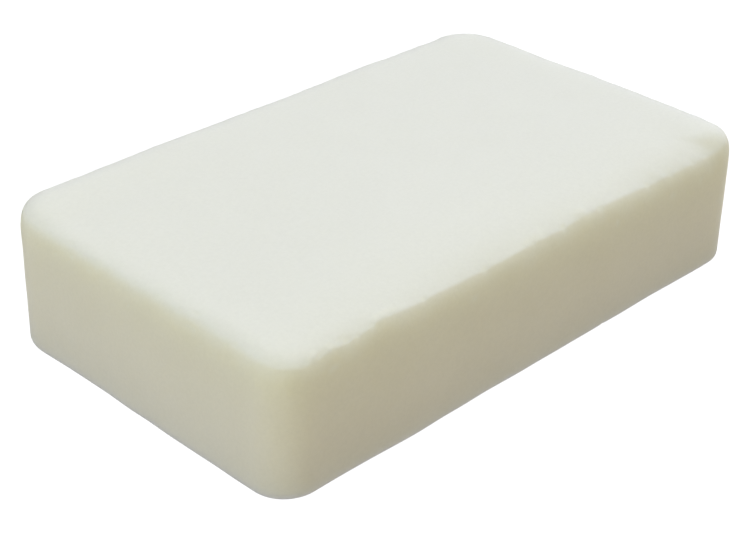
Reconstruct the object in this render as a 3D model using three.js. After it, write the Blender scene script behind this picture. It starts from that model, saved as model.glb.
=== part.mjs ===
// Gymnastics chalk block: one bar of pressed magnesium carbonate, solid right through.
//
// Units are millimetres. The origin is the centre of the foot, the flat face that the block
// rests on. +X runs along the block, +Y across it and +Z up from the foot to the top face.

import * as THREE from "three";

// Outer size.
const length = 92;
const width = 55.5;
const height = 21.5;

// Radius of the four upright corners, seen from above.
const cornerRadius = 6;

// Radius of the rounding that runs around the top face and around the foot.
const edgeRadius = 2;

// Facets that stand in for each upright corner and for each rounded edge.
const cornerFacets = 16;
const edgeFacets = 8;

// The block's outline seen from above: a rectangle whose corners are quarter circles.
function planOutline() {
  const quarterTurn = Math.PI / 2;
  const centreX = length / 2 - cornerRadius;
  const centreY = width / 2 - cornerRadius;
  const outline = new THREE.Shape();
  for (const [sideX, sideY, turns] of [[1, 1, 0], [-1, 1, 1], [-1, -1, 2], [1, -1, 3]]) {
    const start = turns * quarterTurn;
    outline.absarc(sideX * centreX, sideY * centreY, cornerRadius, start, start + quarterTurn);
  }
  outline.closePath();
  return outline;
}

// Raises the outline to the full height, with a quarter-round along its lower and upper edges.
// The rounding is cut back into the block, so the upright sides stay the widest section.
function roundedBar() {
  const bar = new THREE.ExtrudeGeometry(planOutline(), {
    depth: height - 2 * edgeRadius,
    curveSegments: cornerFacets / 2, // three.js cuts an arc into twice this many pieces
    bevelEnabled: true,
    bevelThickness: edgeRadius,
    bevelSize: edgeRadius,
    bevelOffset: -edgeRadius,
    bevelSegments: edgeFacets,
  });
  bar.translate(0, 0, edgeRadius);
  return bar;
}

function pressedChalk() {
  return new THREE.MeshStandardMaterial({ color: 0xe4e4d6, roughness: 0.9, metalness: 0 });
}

const block = new THREE.Mesh(roundedBar(), pressedChalk());
block.name = "chalk_block";

const model = new THREE.Group();
model.add(block);

export default model;
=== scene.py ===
"""The look of the gymnastics chalk block: one worn bar of pressed magnesium carbonate."""

import math

import bpy
import numpy as np
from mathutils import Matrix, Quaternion, Vector


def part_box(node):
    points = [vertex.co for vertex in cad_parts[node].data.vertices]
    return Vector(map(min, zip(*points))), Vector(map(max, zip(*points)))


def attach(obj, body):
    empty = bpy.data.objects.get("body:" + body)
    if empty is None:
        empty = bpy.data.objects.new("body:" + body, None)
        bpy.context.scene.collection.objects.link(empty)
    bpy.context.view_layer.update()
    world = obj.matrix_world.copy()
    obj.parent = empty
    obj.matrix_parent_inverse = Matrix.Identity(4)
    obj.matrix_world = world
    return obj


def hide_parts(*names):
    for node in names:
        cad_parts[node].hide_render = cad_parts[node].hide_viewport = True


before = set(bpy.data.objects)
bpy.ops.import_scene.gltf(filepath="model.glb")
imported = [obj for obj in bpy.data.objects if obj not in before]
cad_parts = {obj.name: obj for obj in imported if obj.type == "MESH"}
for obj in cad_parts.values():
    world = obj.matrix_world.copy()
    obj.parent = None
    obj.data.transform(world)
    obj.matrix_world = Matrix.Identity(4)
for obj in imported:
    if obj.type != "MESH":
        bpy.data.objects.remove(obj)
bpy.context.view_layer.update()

MM = 0.001
LOW, HIGH = (np.array(corner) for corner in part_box("chalk_block"))
CENTRE = (LOW + HIGH) / 2
LENGTH, WIDTH, HEIGHT = HIGH - LOW

# The four upright corners, counted anticlockwise from above, starting at +X +Y. Side 0 runs
# from corner 0 to corner 1, and so on: back, left, front and right.
CORNERS = ((1, 1), (-1, 1), (-1, -1), (1, -1))
UPRIGHT_RADII = (6.8 * MM, 6.7 * MM, 5.5 * MM, 4.9 * MM)
BACK, LEFT, FRONT, RIGHT = range(4)

# The top is crowned: it falls away towards the left and the front sides, but less and less near
# the back and the right sides. For each side: how far the top falls, over what reach, and by what
# power of the way over it. The fade says how far from a side the crown begins and is complete.
CROWN_LEFT = (1.15 * MM, 40 * MM, 2)
CROWN_FRONT = (2.1 * MM, 20 * MM, 3)
CROWN_FADE = (1 * MM, 11 * MM)
# The worn top edge at places round the block, where 2.25 is a quarter of the way along side 2.
# From the crown the top leans over in a long shoulder, turns down in a short lip and steepens to
# the wall over the flank. For each place: the lengths of the shoulder, lip and flank, and how
# steep the shoulder and the lip are where they end, in degrees.
TOP_EDGE = (
    (BACK + 0.00, 3.0 * MM, 1.0 * MM, 2.0 * MM, 30, 66),
    (BACK + 0.50, 2.8 * MM, 1.0 * MM, 2.0 * MM, 26, 66),
    (LEFT + 0.00, 2.6 * MM, 0.8 * MM, 3.2 * MM, 26, 68),
    (LEFT + 0.20, 2.2 * MM, 1.2 * MM, 4.2 * MM, 21, 66),
    (LEFT + 0.60, 2.4 * MM, 1.3 * MM, 4.8 * MM, 22, 65),
    (LEFT + 0.90, 2.6 * MM, 0.9 * MM, 5.2 * MM, 31, 64),
    (FRONT + 0.00, 2.8 * MM, 0.4 * MM, 6.0 * MM, 40, 64),
    (FRONT + 0.05, 2.8 * MM, 0.45 * MM, 6.4 * MM, 46, 64),
    (FRONT + 0.12, 2.8 * MM, 0.45 * MM, 6.4 * MM, 38, 63),
    (FRONT + 0.145, 2.9 * MM, 0.45 * MM, 6.4 * MM, 32, 62),
    (FRONT + 0.165, 2.9 * MM, 0.45 * MM, 7.0 * MM, 16, 62),
    (FRONT + 0.24, 4.2 * MM, 0.45 * MM, 6.6 * MM, 25, 62),
    (FRONT + 0.42, 4.8 * MM, 0.45 * MM, 6.8 * MM, 32, 62),
    (FRONT + 0.57, 4.8 * MM, 0.45 * MM, 7.0 * MM, 30, 60),
    (FRONT + 0.64, 4.4 * MM, 0.5 * MM, 7.0 * MM, 23, 60),
    (FRONT + 0.67, 4.4 * MM, 0.45 * MM, 7.2 * MM, 26, 61),
    (FRONT + 0.82, 5.2 * MM, 0.45 * MM, 7.2 * MM, 36, 62),
    (FRONT + 0.95, 5.4 * MM, 0.5 * MM, 6.0 * MM, 38, 62),
    (RIGHT + 0.00, 3.3 * MM, 0.8 * MM, 3.0 * MM, 32, 62),
    (RIGHT + 0.12, 3.0 * MM, 1.0 * MM, 2.0 * MM, 30, 66),
    (RIGHT + 0.50, 3.0 * MM, 1.0 * MM, 2.0 * MM, 30, 66),
)
# How unevenly the shoulder leans along the edge: by how many degrees, over what distance.
UNEVEN_LEAN = ((0.8, 2.5 * MM), (0.7, 7 * MM))
# The radius of the rounded edge that runs around the foot.
FOOT_EDGE_REACH = 1.45 * MM

# Cells of the coarse grid in the middle of the top face and of the foot, and how many mesh
# columns run out to the rim from each cell's edge; joining_faces() is written for three.
GRID_X, GRID_Y = 100, 60
COLUMNS_PER_CELL = 3
# How far the grid stays inside the walls.
GRID_MARGIN = 9 * MM

# Points along each half of an upright corner's arc, before they are spread evenly.
ARC_POINTS = 24
# Straight steps that stand in for the worn edge's curve between one row and the next.
STEPS_PER_ROW = 12
# The shoulder leans over ever faster, by this power of the way along it.
SHOULDER_POWER = 1.2
# The foot's rings stand closer together towards the rim, by this power of the way in.
FOOT_RING_POWER = 1.5

# Rows of faces over each part of the walls and edges, and rings of faces from edge to grid.
WALL_ROWS = 26
SHOULDER_ROWS = 10
LIP_ROWS = 3
FLANK_ROWS = 10
TOP_EDGE_ROWS = SHOULDER_ROWS + LIP_ROWS + FLANK_ROWS
FOOT_EDGE_ROWS = 8
TOP_FACE_RINGS = 6
FOOT_FACE_RINGS = 5

# Rows of mesh points, counted from the foot's grid out, up the walls and in over the top.
FIRST_FOOT_EDGE_ROW = FOOT_FACE_RINGS - 1
FIRST_WALL_ROW = FIRST_FOOT_EDGE_ROW + FOOT_EDGE_ROWS + 1
FIRST_TOP_EDGE_ROW = FIRST_WALL_ROW + WALL_ROWS - 1

# The chips that show most: place round the block, how far over the top edge (0 is the wall's
# side, 0.5 the lip and 1 the top's side), radius and depth in millimetres, and how far the chip
# is drawn out along the edge.
TOP_EDGE_CHIPS = (
    (FRONT + 0.05, 0.55, 0.8, 0.10, 1.5),
    (FRONT + 0.085, 0.50, 0.6, 0.10, 1.0),
    (FRONT + 0.11, 0.55, 0.9, 0.14, 1.6),
    (FRONT + 0.13, 0.50, 0.5, 0.10, 1.0),
    (FRONT + 0.158, 0.50, 1.1, 0.14, 1.2),
    (FRONT + 0.26, 0.52, 0.9, 0.10, 1.5),
    (FRONT + 0.39, 0.50, 0.8, 0.10, 2.0),
    (FRONT + 0.50, 0.52, 0.6, 0.08, 1.2),
    (FRONT + 0.57, 0.52, 1.0, 0.14, 1.2),
    (FRONT + 0.655, 0.48, 1.3, 0.10, 1.6),
    (FRONT + 0.78, 0.52, 0.9, 0.10, 1.5),
    (FRONT + 0.84, 0.50, 1.2, 0.06, 1.6),
    (FRONT + 0.90, 0.52, 1.0, 0.06, 1.6),
    (LEFT + 0.35, 0.50, 1.2, 0.08, 2.0),
    (LEFT + 0.66, 0.50, 1.0, 0.08, 1.5),
    (LEFT + 0.86, 0.50, 0.9, 0.08, 1.5),
)
# Crumbs pressed up along the top edge, given in the same way, with a height for the depth.
TOP_EDGE_CRUMBS = (
    (FRONT + 0.048, 0.60, 0.45, 0.36, 1.2),
    (FRONT + 0.078, 0.60, 0.50, 0.28, 1.5),
    (FRONT + 0.184, 0.62, 0.50, 0.22, 4.0),
    (FRONT + 0.505, 0.62, 0.50, 0.16, 4.0),
    (FRONT + 0.615, 0.62, 0.50, 0.28, 1.8),
)
# Smaller chips by chance: the first row and the number of rows they may fall in, how many, and
# the depth of the deepest.
SMALL_CHIPS = (
    (FIRST_TOP_EDGE_ROW + FLANK_ROWS // 2, TOP_EDGE_ROWS // 2, 90, 0.07 * MM),
    (FIRST_FOOT_EDGE_ROW, FOOT_EDGE_ROWS, 50, 0.12 * MM),
)
# What each small chip draws between: a number whose square is its share of the deepest one's
# depth, its radius in millimetres, and how far it is drawn out along the edge.
SMALL_CHIP_SHARES, SMALL_CHIP_RADII, SMALL_CHIP_STRETCHES = (0.2, 1), (0.5, 1.6), (1, 3)
# How soft the rim of a chip is, as a share of its depth.
CHIP_SOFTNESS = 0.25
# The edge's direction at a spot is taken between the places this far before and after it.
NEARBY = 0.01

# Slow swells all over the block: how high, and over what distance.
SWELLS = ((0.05 * MM, 24 * MM), (0.015 * MM, 7 * MM))

# A ripple is made of this many waves, whose lengths lie between these shares of the wanted one.
RIPPLE_WAVES = 28
RIPPLE_LENGTHS = (0.7, 1.5)
# Seeds for what falls by chance; a list of ripples counts up from its seed.
SWELL_SEED, DUST_AND_TOP_LIGHT_SEED, CHIP_SEED, LEAN_SEED = 1, 5, 7, 11

IVORY_DEEP = (0.845, 0.81, 0.69, 1)
IVORY_PALE = (0.86, 0.825, 0.71, 1)
# The white of up-facing surfaces: partly dust, partly painted light that makes the top lighter.
DUST_AND_TOP_LIGHT_WHITE = (0.87, 0.865, 0.82, 1)
FRESH_WHITE = (0.88, 0.87, 0.80, 1)
# How far up a surface must face for its whitening to begin, and to cover it, and how uneven it
# is:
# by what share, over what distance. The whitening is partly dust and partly painted light: the
# top is painted lighter than the sides, as if it were lit more.
DUST_AND_TOP_LIGHT_BEGINS, DUST_AND_TOP_LIGHT_COMPLETE = 0.25, 0.85
UNEVEN_DUST_AND_TOP_LIGHT = (0.05, 5 * MM)
# How far a chip or a crumb must move the surface to show it quite fresh.
FRESH_DEPTH = 0.12 * MM
# How far light spreads inside the chalk.
SCATTERING_DEPTH = 3.5 * MM
# The chalk's texture: how large its blotches, grains, pits and patches of sheen are, how much
# lighter or darker the grains are, how high the grains and pits stand, and how rough and how
# strong the sheen is.
BLOTCH_SIZE = 9 * MM
GRAIN_SIZE = 0.5 * MM
PIT_SIZE = 2.5 * MM
SHEEN_SIZE = 3 * MM
GRAIN_SHADES = (0.982, 1.018)
GRAIN_HEIGHT = 0.012 * MM
PIT_HEIGHT = 0.025 * MM
ROUGHNESS_RANGE = (0.78, 0.92)
SPECULAR_LEVEL = 0.35
# How much of the noise is in its fine detail, and the range that it seldom leaves.
NOISE_ROUGHNESS = 0.6
NOISE_LOW, NOISE_HIGH = 0.3, 0.7
# Where a Mix node keeps its two colours among its inputs, and the mixed colour in its outputs.
COLOR_A, COLOR_B, MIXED_COLOR = 6, 7, 2

WORLD_STRENGTH = 0.01
# Each softbox: azimuth and elevation in degrees, watts and colour.
SOFTBOXES = {
    "overhead_light": (180, 89, 2.15, (1.08, 0.985, 1.08)),
    "left_light": (-90, 50, 2.90, (0.915, 1.02, 0.885)),
    "right_light": (90, 35, 3.00, (0.92, 1.0, 1.05)),
    "front_light": (0, 15, 0.57, (1.06, 1.0, 0.20)),
}
SOFTBOX_SIZE = 5.4 * LENGTH
SOFTBOX_DISTANCE = 8.7 * LENGTH
# The glow of the lit floor round the block: distance from the block's sides, and colour. It is
# dull near the block, bright beyond its shadow and dark outside the pool of light.
FLOOR_GLOW = (
    (0 * MM, (0.45, 0.46, 0.53)),
    (15 * MM, (0.77, 0.69, 0.73)),
    (32 * MM, (1.14, 1.11, 0.98)),
    (78 * MM, (1.14, 1.11, 0.98)),
    (84 * MM, (0.0, 0.0, 0.0)),
)
# How far the stage reaches from its middle, and the gap between one sheet of it and the next.
STAGE_SIZE = 15 * LENGTH
SHEET_GAP = 0.05 * MM
# Just past white, so that noise in the picture can't turn the paper grey.
PAPER_BRIGHTNESS = 1.1

# The camera looks at a point a little towards the front left of the block's centre, and sees
# what is between the nearest and the farthest of its sight.
CAMERA_AZIMUTH, CAMERA_ELEVATION, CAMERA_ROLL = -45.6, 30.09, 1.025
CAMERA_AIM = (-0.1075 * LENGTH, -0.1241 * WIDTH, 0)
CAMERA_DISTANCE = 2.583 * LENGTH
CAMERA_SIGHT = (0.1 * LENGTH, 100 * LENGTH)
SENSOR_WIDTH, FOCAL_LENGTH = 36, 83.84


# ---------------------------------------------------------------- shape of the block


def ripple(points, wavelength, seed):
    """Smooth noise of about unit strength at the points: seeded waves of about one length."""
    draw = np.random.default_rng(seed)
    headings = draw.normal(size=(RIPPLE_WAVES, 3))
    headings /= np.linalg.norm(headings, axis=1, keepdims=True)
    lengths = wavelength * draw.uniform(*RIPPLE_LENGTHS, size=RIPPLE_WAVES)
    phases = draw.uniform(0, 2 * math.pi, size=RIPPLE_WAVES)
    turns = points @ (headings * (2 * math.pi / lengths)[:, None]).T
    return np.cos(turns + phases).sum(axis=1) * math.sqrt(2 / RIPPLE_WAVES)


def spread_evenly(line, count):
    """count points at even steps along a line of points, without its last point."""
    steps = np.linalg.norm(np.diff(line, axis=0), axis=1)
    travelled = np.concatenate([[0], np.cumsum(steps)])
    wanted = np.linspace(0, travelled[-1], count, endpoint=False)
    return np.column_stack([np.interp(wanted, travelled, line[:, axis]) for axis in (0, 1)])


def corner_arc(corner, first_share, last_share):
    """Part of an upright corner's quarter circle, seen from above, about the block's centre."""
    side_x, side_y = CORNERS[corner]
    radius = UPRIGHT_RADII[corner]
    angles = (corner + np.linspace(first_share, last_share, ARC_POINTS)) * math.pi / 2
    hub = (side_x * (LENGTH / 2 - radius), side_y * (WIDTH / 2 - radius))
    return np.column_stack([hub[0] + radius * np.cos(angles), hub[1] + radius * np.sin(angles)])


def side_counts():
    """Mesh columns on each side, from the middle of one upright corner to the next."""
    return [COLUMNS_PER_CELL * cells for cells in (GRID_X, GRID_Y, GRID_X, GRID_Y)]


def outline():
    """Points around the block's upright sides, and the way out from the block at each."""
    sides = []
    for corner, count in enumerate(side_counts()):
        halves = (corner_arc(corner, 0.5, 1), corner_arc((corner + 1) % 4, 0, 0.5))
        sides.append(spread_evenly(np.concatenate(halves), count))
    points = np.concatenate(sides)
    ahead = np.roll(points, -1, axis=0) - np.roll(points, 1, axis=0)
    outward = np.column_stack([ahead[:, 1], -ahead[:, 0]])
    return points, outward / np.linalg.norm(outward, axis=1, keepdims=True)


def inner_rectangle():
    """The edge of the coarse grid, with one point for each mesh column."""
    corners = np.array(CORNERS) * (LENGTH / 2 - GRID_MARGIN, WIDTH / 2 - GRID_MARGIN)
    sides = [
        spread_evenly(np.array([corners[k], corners[(k + 1) % 4]]), count)
        for k, count in enumerate(side_counts())
    ]
    return np.concatenate(sides)


def places_round():
    """Each mesh column's place round the block, from 0 up to 4."""
    return np.concatenate([
        side + np.arange(count) / count for side, count in enumerate(side_counts())
    ])


def round_edge(reach, turn):
    """Inset from the wall and height off the face on a round edge, at a turn from 0 to 1."""
    angle = turn * math.pi / 2
    return reach * (1 - math.cos(angle)), reach * (1 - math.sin(angle))


def eased(share):
    """A share from 0 to 1 that sets off and arrives gently, and is held outside that range."""
    share = np.clip(share, 0, 1)
    return share**2 * (3 - 2 * share)


def eased_round(stations, numbers):
    """A number at each mesh column, eased from each station round the block to the next."""
    stations = np.array([*stations, stations[0] + 4])
    numbers = np.array([*numbers, numbers[0]])
    places = places_round()
    before = np.searchsorted(stations, places, side="right") - 1
    share = (places - stations[before]) / np.diff(stations)[before]
    return numbers[before] + np.diff(numbers)[before] * eased(share)


def crown_fall(flat):
    """How far the crown drops the top, and about how steep it is, at points seen from above."""
    from_back, from_left = WIDTH / 2 - flat[:, 1], flat[:, 0] + LENGTH / 2
    from_front, from_right = WIDTH / 2 + flat[:, 1], LENGTH / 2 - flat[:, 0]
    begins, complete = CROWN_FADE
    fade = 1
    for inset in (from_back, from_right):
        fade = fade * eased((inset - begins) / (complete - begins))
    falls, slopes = [], []
    for inset, (drop, reach, power) in ((from_left, CROWN_LEFT), (from_front, CROWN_FRONT)):
        share = np.clip(1 - inset / reach, 0, 1)
        falls.append(drop * share**power)
        slopes.append(drop * share ** (power - 1) * power / reach)
    return np.hypot(*falls) * fade, np.hypot(*slopes) * fade


def worn_edge(start, shoulder, lip, flank, lean, steepness):
    """Inset from the wall and drop below the crown, for each row of the top edge, wall first.

    Each argument holds one value for each mesh column; start is how steep the crown is there.
    """
    counts = [rows * STEPS_PER_ROW for rows in (SHOULDER_ROWS, LIP_ROWS, FLANK_ROWS)]
    over_shoulder, over_lip, over_flank = (
        (np.arange(count)[:, None] + 0.5) / count for count in counts
    )
    upright = math.pi / 2
    leans = np.concatenate([
        start + (lean - start) * over_shoulder**SHOULDER_POWER,
        lean + (steepness - lean) * over_lip,
        upright - (upright - steepness) * (1 - over_flank) ** 2,
    ])
    steps = np.concatenate([
        np.broadcast_to(length / len(share), (len(share), len(length)))
        for length, share in ((shoulder, over_shoulder), (lip, over_lip), (flank, over_flank))
    ])
    run = np.cumsum(np.cos(leans) * steps, axis=0)
    fall = np.cumsum(np.sin(leans) * steps, axis=0)
    rows = np.arange(1, TOP_EDGE_ROWS + 1) * STEPS_PER_ROW - 1
    top_row = np.zeros((1, len(shoulder)))
    inset = run[-1] - np.vstack([top_row, run[rows]])
    drop = np.vstack([top_row, fall[rows]])
    return inset[::-1], drop[::-1]


def block_rows():
    """The block's surface as rows of points, from the foot's grid up to the top's grid."""
    walls, outward = outline()
    inner = inner_rectangle()
    inwards = inner - walls
    margin = -(inwards * outward).sum(axis=1)
    stations, *numbers = zip(*TOP_EDGE)
    shoulder, lip, flank, lean, steepness = (
        eased_round(stations, column) for column in numbers
    )

    def row(flat, height):
        return np.column_stack([flat, np.broadcast_to(height, len(flat))])

    def at_inset(inset):
        return walls + inwards * (inset / margin)[:, None]

    for number, (degrees, wavelength) in enumerate(UNEVEN_LEAN):
        lean = lean + degrees * ripple(row(walls, 0), wavelength, LEAN_SEED + number)
    slope = crown_fall(at_inset(shoulder + lip))[1]
    insets, drops = worn_edge(
        np.arctan(slope), shoulder, lip, flank, np.radians(lean), np.radians(steepness)
    )
    top = HEIGHT - crown_fall(at_inset(insets[-1]))[0]
    foot_edge = []
    for turn in np.linspace(1, 0, FOOT_EDGE_ROWS + 1):
        inset, lift = round_edge(FOOT_EDGE_REACH, turn)
        foot_edge.append(row(walls - outward * inset, lift))
    wall = [
        row(walls, FOOT_EDGE_REACH + (top - drops[0] - FOOT_EDGE_REACH) * share)
        for share in np.linspace(0, 1, WALL_ROWS + 1)[1:-1]
    ]
    top_edge = [row(at_inset(inset), top - drop) for inset, drop in zip(insets, drops)]
    foot_rings = [
        row(foot_edge[0][:, :2] * (1 - share) + inner * share, 0)
        for share in np.linspace(0, 1, FOOT_FACE_RINGS + 1)[1:] ** FOOT_RING_POWER
    ]
    top_rings = []
    for share in np.linspace(0, 1, TOP_FACE_RINGS + 1)[1:]:
        flat = top_edge[-1][:, :2] * (1 - share) + inner * share
        top_rings.append(row(flat, HEIGHT - crown_fall(flat)[0]))
    return foot_rings[::-1] + foot_edge + wall + top_edge + top_rings


def grid_points():
    """The coarse grid's own points as seen from above, row by row."""
    xs = np.linspace(-1, 1, GRID_X + 1) * (LENGTH / 2 - GRID_MARGIN)
    ys = np.linspace(-1, 1, GRID_Y + 1) * (WIDTH / 2 - GRID_MARGIN)
    return np.stack(np.meshgrid(xs, ys), axis=-1).reshape(-1, 2)


def grid_border():
    """Places in the grid's list of points along its border, one for each cell's edge."""
    across = GRID_X + 1
    last = GRID_Y * across
    back = [last + i for i in range(GRID_X, 0, -1)]
    left = [j * across for j in range(GRID_Y, 0, -1)]
    front = list(range(GRID_X))
    right = [j * across + GRID_X for j in range(GRID_Y)]
    return back + left + front + right


def grid_faces(first, faces_up):
    """Faces of a grid whose points start at place first."""
    across = GRID_X + 1
    faces = []
    for j in range(GRID_Y):
        for i in range(GRID_X):
            a = first + j * across + i
            face = (a, a + 1, a + across + 1, a + across)
            faces.append(face if faces_up else face[::-1])
    return faces


def ring_faces(lower, columns):
    """Faces between the row of points that starts at place lower and the row above it."""
    upper = lower + columns
    return [
        (lower + i, lower + (i + 1) % columns, upper + (i + 1) % columns, upper + i)
        for i in range(columns)
    ]


def joining_faces(ring, grid, columns, faces_up):
    """Faces from a ring of mesh columns to a grid's border, which has a third of its points."""
    border = [grid + place for place in grid_border()]
    faces = []
    for k, near in enumerate(border):
        far = border[(k + 1) % len(border)]
        first = k * COLUMNS_PER_CELL
        a, b, c, d = (ring + (first + n) % columns for n in range(COLUMNS_PER_CELL + 1))
        for face in ((a, b, near), (b, c, far, near), (c, d, far)):
            faces.append(face if faces_up else face[::-1])
    return faces


def block_surface():
    """Points and faces of the whole block, before any wear."""
    rows = block_rows()[1:-1]  # the grids' own borders stand for the first and the last row
    grid = grid_points()
    columns = len(rows[0])
    foot_grid = len(rows) * columns
    top_grid = foot_grid + len(grid)
    foot = np.column_stack([grid, np.zeros(len(grid))])
    top = np.column_stack([grid, HEIGHT - crown_fall(grid)[0]])
    points = np.concatenate([*rows, foot, top])
    faces = []
    for k in range(len(rows) - 1):
        faces += ring_faces(k * columns, columns)
    faces += joining_faces(0, foot_grid, columns, faces_up=False)
    faces += joining_faces(foot_grid - columns, top_grid, columns, faces_up=True)
    faces += grid_faces(foot_grid, faces_up=False)
    faces += grid_faces(top_grid, faces_up=True)
    points += (CENTRE[0], CENTRE[1], LOW[2])
    return points, faces


# ---------------------------------------------------------------- wear


def surface_normals(points, faces):
    """The way out of the block at each point."""
    normals = np.zeros_like(points)
    for size in {len(face) for face in faces}:
        same = np.array([face for face in faces if len(face) == size])
        first, middle, last = (points[same[:, k]] for k in (0, size // 2, size - 1))
        leans = np.cross(middle - first, last - first)
        for k in range(size):
            np.add.at(normals, same[:, k], leans)
    return normals / np.linalg.norm(normals, axis=1, keepdims=True)


def soft_above_zero(values, softness):
    """The values where they are above zero, easing in to zero where they are below."""
    return softness * np.logaddexp(0, values / softness)


def squeezed_offsets(points, middle, along, stretch):
    """The ways from the middle to the points, made shorter along the edge by stretch."""
    offsets = points - middle
    return offsets - np.outer(offsets @ along * (1 - 1 / stretch), along)


def scoop(points, spot, way_out, along, radius, depth, stretch):
    """Wears a shallow dish of a radius and a depth into the surface at a spot.

    The dish is part of a ball that stands outside, drawn out along the edge by stretch.
    """
    middle = spot + way_out * (radius - depth)
    offsets = squeezed_offsets(points, middle, along, stretch)
    distance = np.linalg.norm(offsets, axis=1)
    push = soft_above_zero(radius - distance, CHIP_SOFTNESS * depth)
    push[distance > radius + depth] = 0
    return points + offsets / distance[:, None] * push[:, None]


def raise_crumb(points, spot, way_out, along, radius, height, stretch):
    """Raises a small rounded crumb at a spot, drawn out along the edge by stretch."""
    offsets = squeezed_offsets(points, spot, along, stretch)
    share = np.linalg.norm(offsets, axis=1) / radius
    return points + way_out * (height * np.exp(-(share**2)))[:, None]


def point_on(row, place):
    """The number of the mesh point in a row at a place round the block."""
    columns = sum(side_counts())
    return row * columns + int(np.argmin(abs(places_round() - place % 4)))


def spot_on(points, normals, row, place):
    """Where a row passes a place round the block, and the ways out and along the row there."""
    spot = point_on(row, place)
    before, after = point_on(row, place - NEARBY), point_on(row, place + NEARBY)
    along = points[after] - points[before]
    return points[spot], normals[spot], along / np.linalg.norm(along)


def worn_points(points, faces):
    """The block's points after handling, and how far a chip or a crumb moved each of them."""
    normals = surface_normals(points, faces)
    for number, (height, wavelength) in enumerate(SWELLS):
        swell = height * ripple(points, wavelength, SWELL_SEED + number)
        points = points + normals * swell[:, None]
    unworn = points
    for shape, spots in ((scoop, TOP_EDGE_CHIPS), (raise_crumb, TOP_EDGE_CRUMBS)):
        for place, turn, radius, depth, stretch in spots:
            row = FIRST_TOP_EDGE_ROW + round(turn * TOP_EDGE_ROWS)
            spot = spot_on(points, normals, row, place)
            points = shape(points, *spot, radius * MM, depth * MM, stretch)
    draw = np.random.default_rng(CHIP_SEED)
    for first_row, rows, count, deepest in SMALL_CHIPS:
        for _ in range(count):
            row = first_row + int(draw.integers(rows))
            depth = deepest * draw.uniform(*SMALL_CHIP_SHARES) ** 2
            radius = draw.uniform(*SMALL_CHIP_RADII) * MM
            spot = spot_on(points, normals, row, draw.uniform(0, 4))
            stretch = draw.uniform(*SMALL_CHIP_STRETCHES)
            points = scoop(points, *spot, radius, depth, stretch)
    moved_by = np.linalg.norm(points - unworn, axis=1)
    points[:, 2] = np.maximum(points[:, 2], LOW[2])
    return points, moved_by


def add_mask(mesh, name, values):
    """Keeps a share from 0 to 1 for each point of the mesh, for a material to read."""
    mesh.attributes.new(name, "FLOAT", "POINT").data.foreach_set("value", np.clip(values, 0, 1))


def make_block():
    """The worn block, with masks that say where dust and painted top light whiten it and where it
    is freshly chipped.
    """
    points, faces = block_surface()
    points, moved_by = worn_points(points, faces)
    mesh = bpy.data.meshes.new("pressed_bar")
    mesh.from_pydata(points.tolist(), [], faces)
    # Up-facing surfaces are whitened: partly by dust, partly by painted light that makes the top
    # lighter than the sides.
    upwards = surface_normals(points, faces)[:, 2]
    facing_up = (upwards - DUST_AND_TOP_LIGHT_BEGINS) / (DUST_AND_TOP_LIGHT_COMPLETE - DUST_AND_TOP_LIGHT_BEGINS)
    unevenness, wavelength = UNEVEN_DUST_AND_TOP_LIGHT
    add_mask(mesh, "dust_and_top_light", facing_up + unevenness * ripple(points, wavelength, DUST_AND_TOP_LIGHT_SEED))
    add_mask(mesh, "fresh", moved_by / FRESH_DEPTH)
    mesh.shade_smooth()
    block = bpy.data.objects.new("pressed_bar", mesh)
    bpy.context.scene.collection.objects.link(block)
    return block


# ---------------------------------------------------------------- materials


def new_material(name):
    """A material whose nodes are all still to be made."""
    material = bpy.data.materials.new(name)
    material.use_nodes = True
    material.node_tree.nodes.clear()
    return material


def feed(tree, socket, value):
    """Links another node's output to an input socket, or sets the socket to a plain value."""
    if isinstance(value, bpy.types.NodeSocket):
        tree.links.new(value, socket)
    else:
        socket.default_value = value


def add_node(tree, kind, settings=None, **inputs):
    """Adds a node, and feeds its inputs by name, with _ for a space."""
    node = tree.nodes.new(kind)
    for name, value in (settings or {}).items():
        setattr(node, name, value)
    for name, value in inputs.items():
        feed(tree, node.inputs[name.replace("_", " ")], value)
    return node


def mixed(tree, factor, low, high):
    """A colour between two colours, or two colour sockets, by a factor socket."""
    node = add_node(tree, "ShaderNodeMix", {"data_type": "RGBA"}, Factor=factor)
    feed(tree, node.inputs[COLOR_A], low)
    feed(tree, node.inputs[COLOR_B], high)
    return node.outputs[MIXED_COLOR]


def noise(tree, place, size, detail):
    """Cloudy noise from 0 to 1 whose blotches are about size metres across."""
    look = {"Scale": 1 / size, "Detail": detail, "Roughness": NOISE_ROUGHNESS}
    return add_node(tree, "ShaderNodeTexNoise", Vector=place, **look).outputs["Fac"]


def ramped(tree, value, low, high, to_low=0, to_high=1):
    """A value carried from the range low..high to another range, and held at its ends."""
    ends = {"From_Min": low, "From_Max": high, "To_Min": to_low, "To_Max": to_high}
    return add_node(tree, "ShaderNodeMapRange", Value=value, **ends).outputs["Result"]


def mesh_mask(tree, name):
    """A share from 0 to 1 that add_mask() keeps for each point of the mesh."""
    return add_node(tree, "ShaderNodeAttribute", {"attribute_name": name}).outputs["Fac"]


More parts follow.
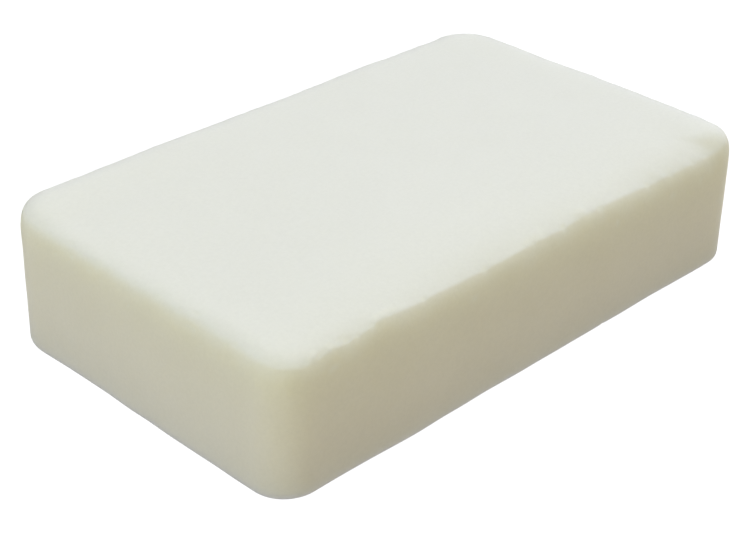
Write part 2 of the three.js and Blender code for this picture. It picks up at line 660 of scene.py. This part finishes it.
def chalk_material():
    """Ivory pressed chalk, whitened by its own dust and by painted top light where it faces up,
    and where it is chipped.
    """
    material = new_material("chalk_dust_and_top_light")
    tree = material.node_tree
    place = add_node(tree, "ShaderNodeTexCoord").outputs["Object"]
    blotches = ramped(tree, noise(tree, place, BLOTCH_SIZE, detail=3), NOISE_LOW, NOISE_HIGH)
    patches = noise(tree, place, SHEEN_SIZE, detail=2)
    sheen = ramped(tree, patches, NOISE_LOW, NOISE_HIGH, *ROUGHNESS_RANGE)
    grain = noise(tree, place, GRAIN_SIZE, detail=4)
    pits = noise(tree, place, PIT_SIZE, detail=2)
    body = mixed(tree, blotches, IVORY_DEEP, IVORY_PALE)
    # Whiter where it faces up: partly dust, partly painted light that makes the top lighter than
    # the sides.
    dusted_and_top_lit = mixed(tree, mesh_mask(tree, "dust_and_top_light"), body, DUST_AND_TOP_LIGHT_WHITE)
    fresh = mixed(tree, mesh_mask(tree, "fresh"), dusted_and_top_lit, FRESH_WHITE)
    speckled = add_node(
        tree,
        "ShaderNodeVectorMath",
        {"operation": "SCALE"},
        Vector=fresh,
        Scale=ramped(tree, grain, NOISE_LOW, NOISE_HIGH, *GRAIN_SHADES),
    )
    shader = add_node(
        tree,
        "ShaderNodeBsdfPrincipled",
        Base_Color=speckled.outputs["Vector"],
        Roughness=sheen,
        Specular_IOR_Level=SPECULAR_LEVEL,
        Subsurface_Weight=1.0,
        Subsurface_Radius=(1, 1, 1),
        Subsurface_Scale=SCATTERING_DEPTH,
    )
    height = add_node(tree, "ShaderNodeMath", {"operation": "ADD"})
    feed(tree, height.inputs[0], ramped(tree, grain, 0, 1, 0, GRAIN_HEIGHT))
    feed(tree, height.inputs[1], ramped(tree, pits, 0, 1, 0, PIT_HEIGHT))
    bump = add_node(tree, "ShaderNodeBump", Height=height.outputs["Value"], Distance=1.0)
    feed(tree, shader.inputs["Normal"], bump.outputs["Normal"])
    add_node(tree, "ShaderNodeOutputMaterial", Surface=shader.outputs["BSDF"])
    return material


def white_material(name):
    """Studio paper lit until it is plain white, with no shadow left on it."""
    material = new_material(name)
    tree = material.node_tree
    emission = add_node(
        tree, "ShaderNodeEmission", Color=(1, 1, 1, 1), Strength=PAPER_BRIGHTNESS
    )
    add_node(tree, "ShaderNodeOutputMaterial", Surface=emission.outputs["Emission"])
    return material


# ---------------------------------------------------------------- stage, light and camera


def show_to(thing, *rays):
    """Lets only these kinds of ray see a part of the stage."""
    for ray in ("camera", "diffuse", "glossy", "transmission", "volume_scatter", "shadow"):
        setattr(thing, "visible_" + ray, ray in rays)


def add_stage_piece(name, corners, faces, material):
    """A plain mesh that belongs to the stage, not to the block."""
    mesh = bpy.data.meshes.new(name)
    mesh.from_pydata(corners, [], faces)
    mesh.materials.append(material)
    piece = bpy.data.objects.new(name, mesh)
    bpy.context.scene.collection.objects.link(piece)
    return piece


def make_sheet(name, height, material):
    """A big flat sheet under the block."""
    corners = [(x * STAGE_SIZE, y * STAGE_SIZE, height) for x, y in CORNERS]
    return add_stage_piece(name, corners, [(0, 1, 2, 3)], material)


def glow_material():
    """The lit floor's glow, by the distance from the block's sides."""
    material = new_material("floor_glow")
    tree = material.node_tree
    place = add_node(tree, "ShaderNodeTexCoord").outputs["Object"]

    def vector(operation, *inputs):
        node = add_node(tree, "ShaderNodeVectorMath", {"operation": operation})
        for socket, value in zip(node.inputs, inputs):
            feed(tree, socket, value)
        return node.outputs

    block_reach = (LENGTH / 2, WIDTH / 2, HEIGHT)
    beyond = vector("SUBTRACT", vector("ABSOLUTE", place)["Vector"], block_reach)
    outside = vector("MAXIMUM", beyond["Vector"], (0, 0, 0))
    distance = vector("LENGTH", outside["Vector"])["Value"]
    reach = FLOOR_GLOW[-1][0]
    ramp = add_node(tree, "ShaderNodeValToRGB", Fac=ramped(tree, distance, 0, reach))
    stops = ramp.color_ramp.elements
    brightest = max(max(color) for _, color in FLOOR_GLOW)
    stops.remove(stops[1])  # a new ramp has two stops
    for number, (far, color) in enumerate(FLOOR_GLOW):
        stop = stops.new(1) if number else stops[0]
        stop.position = far / reach
        stop.color = (*(level / brightest for level in color), 1)
    emission = add_node(
        tree, "ShaderNodeEmission", Color=ramp.outputs["Color"], Strength=brightest
    )
    add_node(tree, "ShaderNodeOutputMaterial", Surface=emission.outputs["Emission"])
    return material


def make_floor():
    """The floor is two sheets: one that the camera sees, and one that lights the block."""
    seen = make_sheet("floor", LOW[2] - SHEET_GAP, white_material("floor"))
    show_to(seen, "camera")
    glow = make_sheet("floor_glow", LOW[2] - 2 * SHEET_GAP, glow_material())
    show_to(glow, "diffuse", "glossy", "transmission")


def make_backdrop():
    """A tall white screen all round the stage, for low views; only the camera sees it."""
    low = [(x * STAGE_SIZE, y * STAGE_SIZE, LOW[2] - MM) for x, y in CORNERS]
    high = [(x, y, STAGE_SIZE) for x, y, _ in low]
    faces = [(k, (k + 1) % 4, 4 + (k + 1) % 4, 4 + k) for k in range(4)]
    screen = add_stage_piece("backdrop", low + high, faces, white_material("screen"))
    show_to(screen, "camera")


def make_world():
    """A faint even glow from all round."""
    world = bpy.data.worlds.new("studio")
    world.use_nodes = True
    tree = world.node_tree
    tree.nodes.clear()
    background = add_node(
        tree, "ShaderNodeBackground", Color=(1, 1, 1, 1), Strength=WORLD_STRENGTH
    )
    add_node(tree, "ShaderNodeOutputWorld", Surface=background.outputs["Background"])
    bpy.context.scene.world = world


def way_towards(azimuth, elevation):
    """The unit vector from the block towards a compass place; azimuth 0 is the front."""
    azimuth, elevation = math.radians(azimuth), math.radians(elevation)
    level = math.cos(elevation)
    return Vector((math.sin(azimuth) * level, -math.cos(azimuth) * level, math.sin(elevation)))


def add_softbox(name, azimuth, elevation, power, color):
    """A square soft light that faces the block."""
    light = bpy.data.lights.new(name, "AREA")
    light.shape = "SQUARE"
    light.size = SOFTBOX_SIZE
    light.energy = power
    light.color = color
    box = bpy.data.objects.new(name, light)
    away = way_towards(azimuth, elevation)
    box.location = Vector(CENTRE) + away * SOFTBOX_DISTANCE
    box.rotation_euler = away.to_track_quat("Z", "Y").to_euler()
    box.visible_camera = False
    bpy.context.scene.collection.objects.link(box)


def make_camera():
    """The camera looks down at the front left corner, with a slight roll."""
    back = way_towards(CAMERA_AZIMUTH, CAMERA_ELEVATION)
    roll = Quaternion((0, 0, 1), math.radians(CAMERA_ROLL))
    data = bpy.data.cameras.new("camera")
    data.sensor_width = SENSOR_WIDTH
    data.lens = FOCAL_LENGTH
    data.clip_start, data.clip_end = CAMERA_SIGHT
    camera = bpy.data.objects.new("camera", data)
    camera.location = Vector(CENTRE) + Vector(CAMERA_AIM) + back * CAMERA_DISTANCE
    camera.rotation_mode = "QUATERNION"
    camera.rotation_quaternion = back.to_track_quat("Z", "Y") @ roll
    bpy.context.scene.collection.objects.link(camera)
    bpy.context.scene.camera = camera


make_camera()
make_world()
make_floor()
make_backdrop()
for light_name, settings in SOFTBOXES.items():
    add_softbox(light_name, *settings)
bpy.context.scene.view_settings.view_transform = "Standard"

block = make_block()
block.data.materials.append(chalk_material())
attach(block, "root")
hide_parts("chalk_block")
